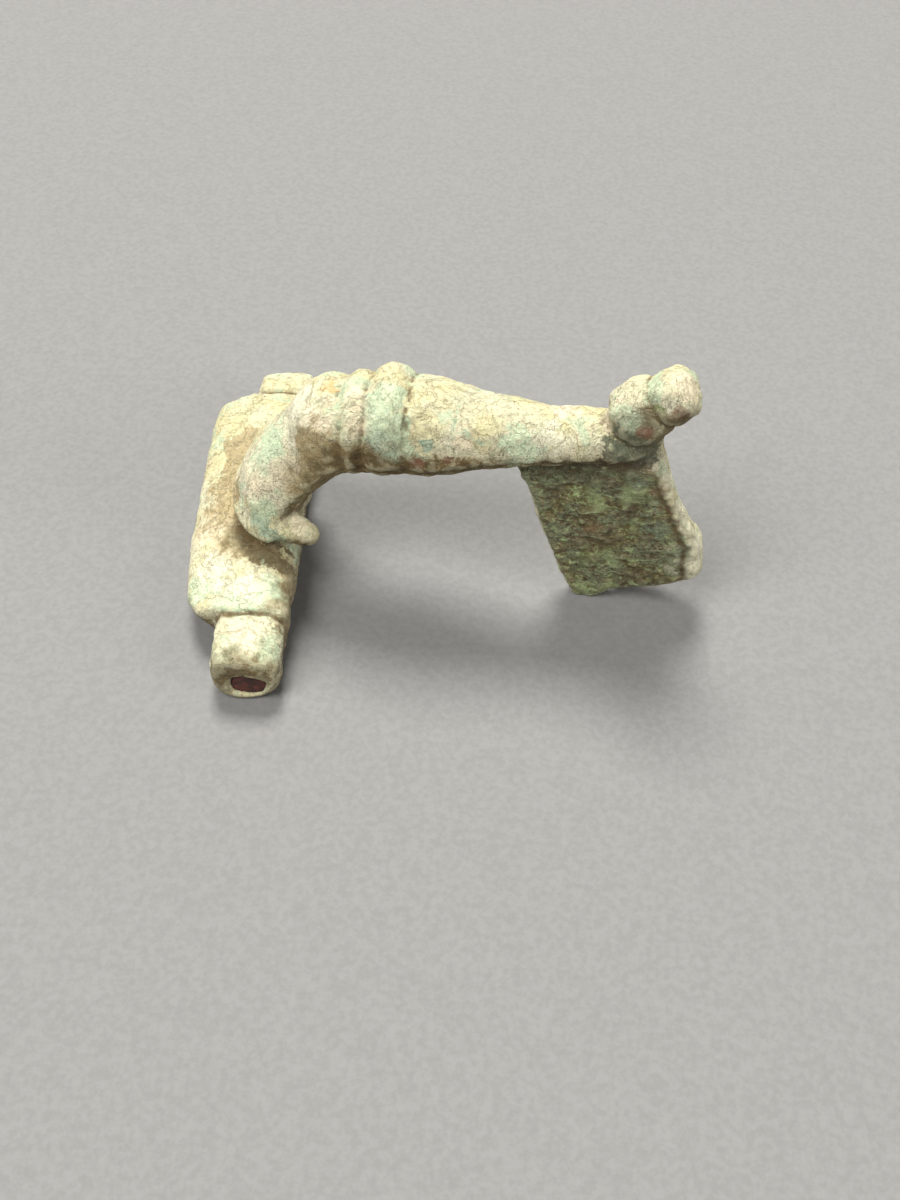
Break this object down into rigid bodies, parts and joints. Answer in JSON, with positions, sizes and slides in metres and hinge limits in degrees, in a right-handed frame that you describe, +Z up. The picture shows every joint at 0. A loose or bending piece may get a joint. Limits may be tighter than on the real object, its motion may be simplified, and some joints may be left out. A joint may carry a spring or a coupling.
{
  "type": "fibula brooch",
  "caption": "Cast bronze bow brooch of the T-shaped hinged kind, with ring mouldings, a catch plate and an upturned foot knob; its pin is lost.",
  "frame": {"origin": "under the middle of the whole object, on the surface it stands on", "axes": "+X from the crossbar towards the foot knob, +Y along the crossbar away from the side the foot leans to, +Z up"},
  "size_m": [0.0488, 0.0392, 0.0282],
  "materials": {
    "bronze_patina": "corroded cast copper alloy with pale green, cream and olive patina and brown patches, matt",
    "iron_rust": "dark red-brown rusted iron, rough"
  },
  "bodies": {
    "root": {"brooch_casting": "bronze_patina", "iron_axle_stub": "iron_rust"}
  },
  "joints": []
}
